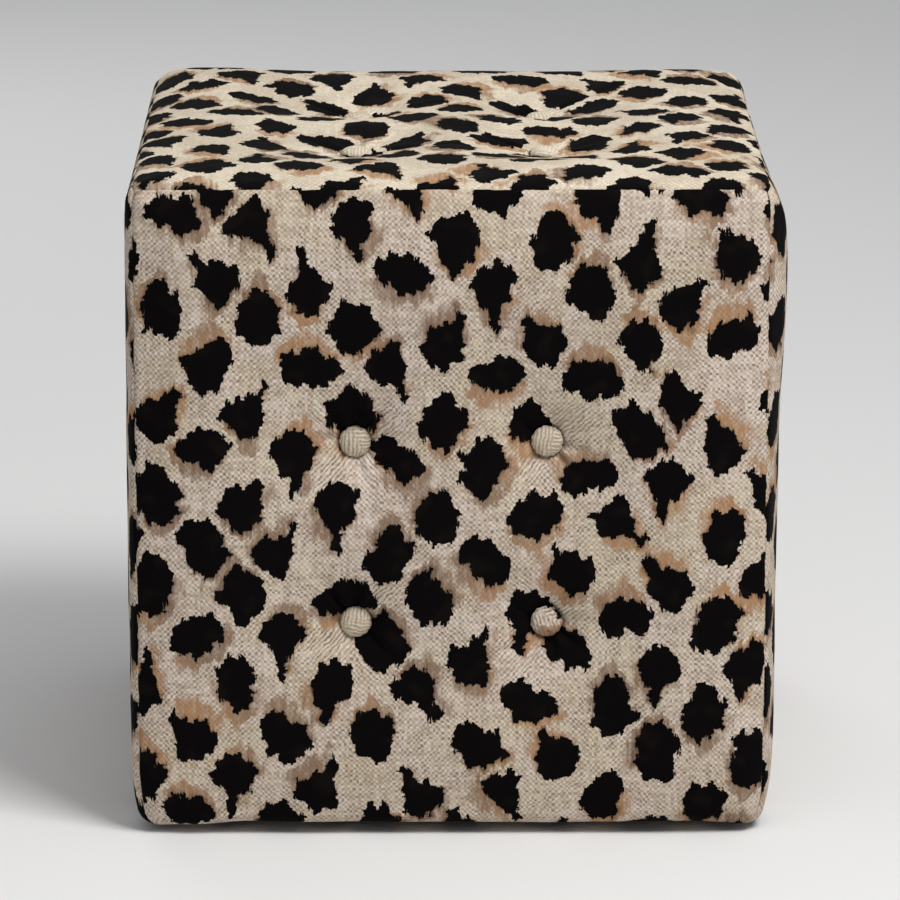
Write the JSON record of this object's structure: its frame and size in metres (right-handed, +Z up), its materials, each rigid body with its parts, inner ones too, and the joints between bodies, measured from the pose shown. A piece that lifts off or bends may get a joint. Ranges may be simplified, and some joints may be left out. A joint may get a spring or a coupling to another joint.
{
  "type": "tuffet",
  "caption": "Cube-shaped upholstered tuffet with plain-seamed edges, button-tufted sides and seat, and a black dust cover with low glides underneath.",
  "frame": {"origin": "on the floor, under the middle of the block, at the undersides of the glides", "axes": "+Z up, +X to the right of a person facing the front, front towards -Y"},
  "size_m": [0.432, 0.432, 0.448],
  "materials": {
    "cover_cloth": "matte",
    "button_cloth": "matte",
    "foam": "matte",
    "plywood": "matte",
    "pine": "matte",
    "dust_cloth": "matte",
    "glide_plastic": "satin"
  },
  "bodies": {
    "root": {"cover_front": "cover_cloth", "cover_right": "cover_cloth", "cover_back": "cover_cloth", "cover_left": "cover_cloth", "cover_top": "cover_cloth", "foam_front": "foam", "foam_right": "foam", "foam_back": "foam", "foam_left": "foam", "foam_seat": "foam", "side_board_front": "plywood", "side_board_right": "plywood", "side_board_back": "plywood", "side_board_left": "plywood", "seat_deck": "plywood", "bottom_rail_front": "pine", "bottom_rail_right": "pine", "bottom_rail_back": "pine", "bottom_rail_left": "pine", "top_rail_front": "pine", "top_rail_right": "pine", "top_rail_back": "pine", "top_rail_left": "pine", "corner_post_front_right": "pine", "corner_post_back_right": "pine", "corner_post_back_left": "pine", "corner_post_front_left": "pine", "corner_block_front_right": "pine", "corner_block_back_right": "pine", "corner_block_back_left": "pine", "corner_block_front_left": "pine", "glide_front_right": "glide_plastic", "glide_back_right": "glide_plastic", "glide_back_left": "glide_plastic", "glide_front_left": "glide_plastic", "dust_cover": "dust_cloth", "button_front_lower_left": "button_cloth", "button_front_lower_right": "button_cloth", "button_front_upper_left": "button_cloth", "button_front_upper_right": "button_cloth", "button_right_lower_left": "button_cloth", "button_right_lower_right": "button_cloth", "button_right_upper_left": "button_cloth", "button_right_upper_right": "button_cloth", "button_back_lower_left": "button_cloth", "button_back_lower_right": "button_cloth", "button_back_upper_left": "button_cloth", "button_back_upper_right": "button_cloth", "button_left_lower_left": "button_cloth", "button_left_lower_right": "button_cloth", "button_left_upper_left": "button_cloth", "button_left_upper_right": "button_cloth", "button_top_front_left": "button_cloth", "button_top_front_right": "button_cloth", "button_top_back_left": "button_cloth", "button_top_back_right": "button_cloth"}
  },
  "joints": []
}
